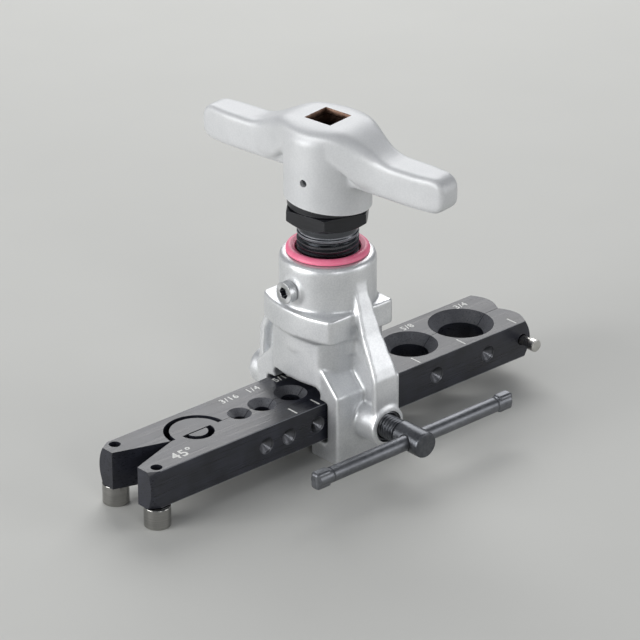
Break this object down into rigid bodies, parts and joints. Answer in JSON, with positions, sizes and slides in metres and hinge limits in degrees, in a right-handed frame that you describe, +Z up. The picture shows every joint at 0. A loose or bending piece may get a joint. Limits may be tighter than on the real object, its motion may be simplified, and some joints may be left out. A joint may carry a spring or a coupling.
{
  "type": "flaring tool",
  "caption": "Tube flaring tool: a cast screw yoke with a T handle slides along a hinged split die bar and is locked to a die by a side clamp screw with a tommy bar.",
  "frame": {"origin": "on the ground plane under the pegs and hooks, below the middle of the tool's bounding box", "axes": "+X along the die bar from the foot pegs to the stop pin, +Y away from the clamp screw, +Z up along the feed screw"},
  "size_m": [0.207, 0.1272, 0.1414],
  "materials": {
    "cast_aluminium": "sand-blasted raw casting",
    "satin_silver": "satin silver paint on a casting",
    "black_oxide": "black oxide",
    "turned_steel": "bright turned",
    "phosphated_steel": "dark grey phosphate",
    "oiled_steel": "oiled brown steel",
    "pink_plastic": "moulded",
    "bronze": "machined"
  },
  "bodies": {
    "yoke_body": {"yoke": "cast_aluminium", "feed_nut": "bronze", "stop_ring": "pink_plastic", "lock_screw": "turned_steel", "clamp_bush": "phosphated_steel"},
    "rear_bar_body": {"rear_die_bar": "black_oxide", "rear_foot_peg": "turned_steel"},
    "front_bar_body": {"front_die_bar": "black_oxide", "front_foot_peg": "turned_steel", "stop_pin": "turned_steel"},
    "cone_body": {"flaring_cone": "turned_steel", "thrust_ball": "turned_steel", "cone_keeper": "phosphated_steel"},
    "spindle_body": {"feed_screw": "black_oxide", "clutch_collar": "black_oxide"},
    "handle_body": {"handle": "satin_silver", "drive_bush": "oiled_steel", "hub_pin": "phosphated_steel", "clutch_plate": "black_oxide", "clutch_ball_1": "turned_steel", "clutch_ball_2": "turned_steel", "clutch_ball_3": "turned_steel", "clutch_spring_lower": "phosphated_steel", "clutch_spring_upper": "phosphated_steel"},
    "clamp_tip_body": {"clamp_tip": "phosphated_steel"},
    "clamp_screw_body": {"clamp_screw": "phosphated_steel"},
    "tommy_bar_body": {"tommy_bar": "phosphated_steel"}
  },
  "joints": [
    {"name": "bar_slide", "type": "slide", "parent": "yoke_body", "child": "rear_bar_body", "axis": [1, 0, 0], "range_m": [-0.075, 0.079]},
    {"name": "bar_open", "type": "hinge", "parent": "rear_bar_body", "child": "front_bar_body", "pos_m": [-0.0665, 0, 0.0173], "axis": [0, 0, -1], "range_deg": [0, 0.9]},
    {"name": "cone_feed", "type": "slide", "parent": "yoke_body", "child": "cone_body", "axis": [0, 0, 1], "range_m": [-0.0109, 0.0091]},
    {"name": "spindle_turn", "type": "hinge", "parent": "cone_body", "child": "spindle_body", "pos_m": [0.0035, 0, 0.09], "axis": [0, 0, 1], "range_deg": [-1975, 1650]},
    {"name": "clutch_slip", "type": "hinge", "parent": "spindle_body", "child": "handle_body", "pos_m": [0.0035, 0, 0.12], "axis": [0, 0, 1], "continuous": true},
    {"name": "clamp_feed", "type": "slide", "parent": "yoke_body", "child": "clamp_tip_body", "axis": [0, -1, 0], "range_m": [-0.0044, 0.0039]},
    {"name": "clamp_turn", "type": "hinge", "parent": "clamp_tip_body", "child": "clamp_screw_body", "pos_m": [0.0035, -0.03, 0.0173], "axis": [0, -1, 0], "range_deg": [-1065, 945]},
    {"name": "tommy_slide", "type": "slide", "parent": "clamp_screw_body", "child": "tommy_bar_body", "axis": [1, 0, 0], "range_m": [-0.0398, 0.0398]}
  ],
  "couplings": [
    {"joint": "spindle_turn", "follows": "cone_feed", "rad_per_m": 3141.6},
    {"joint": "clamp_turn", "follows": "clamp_feed", "rad_per_m": 4188.8}
  ]
}
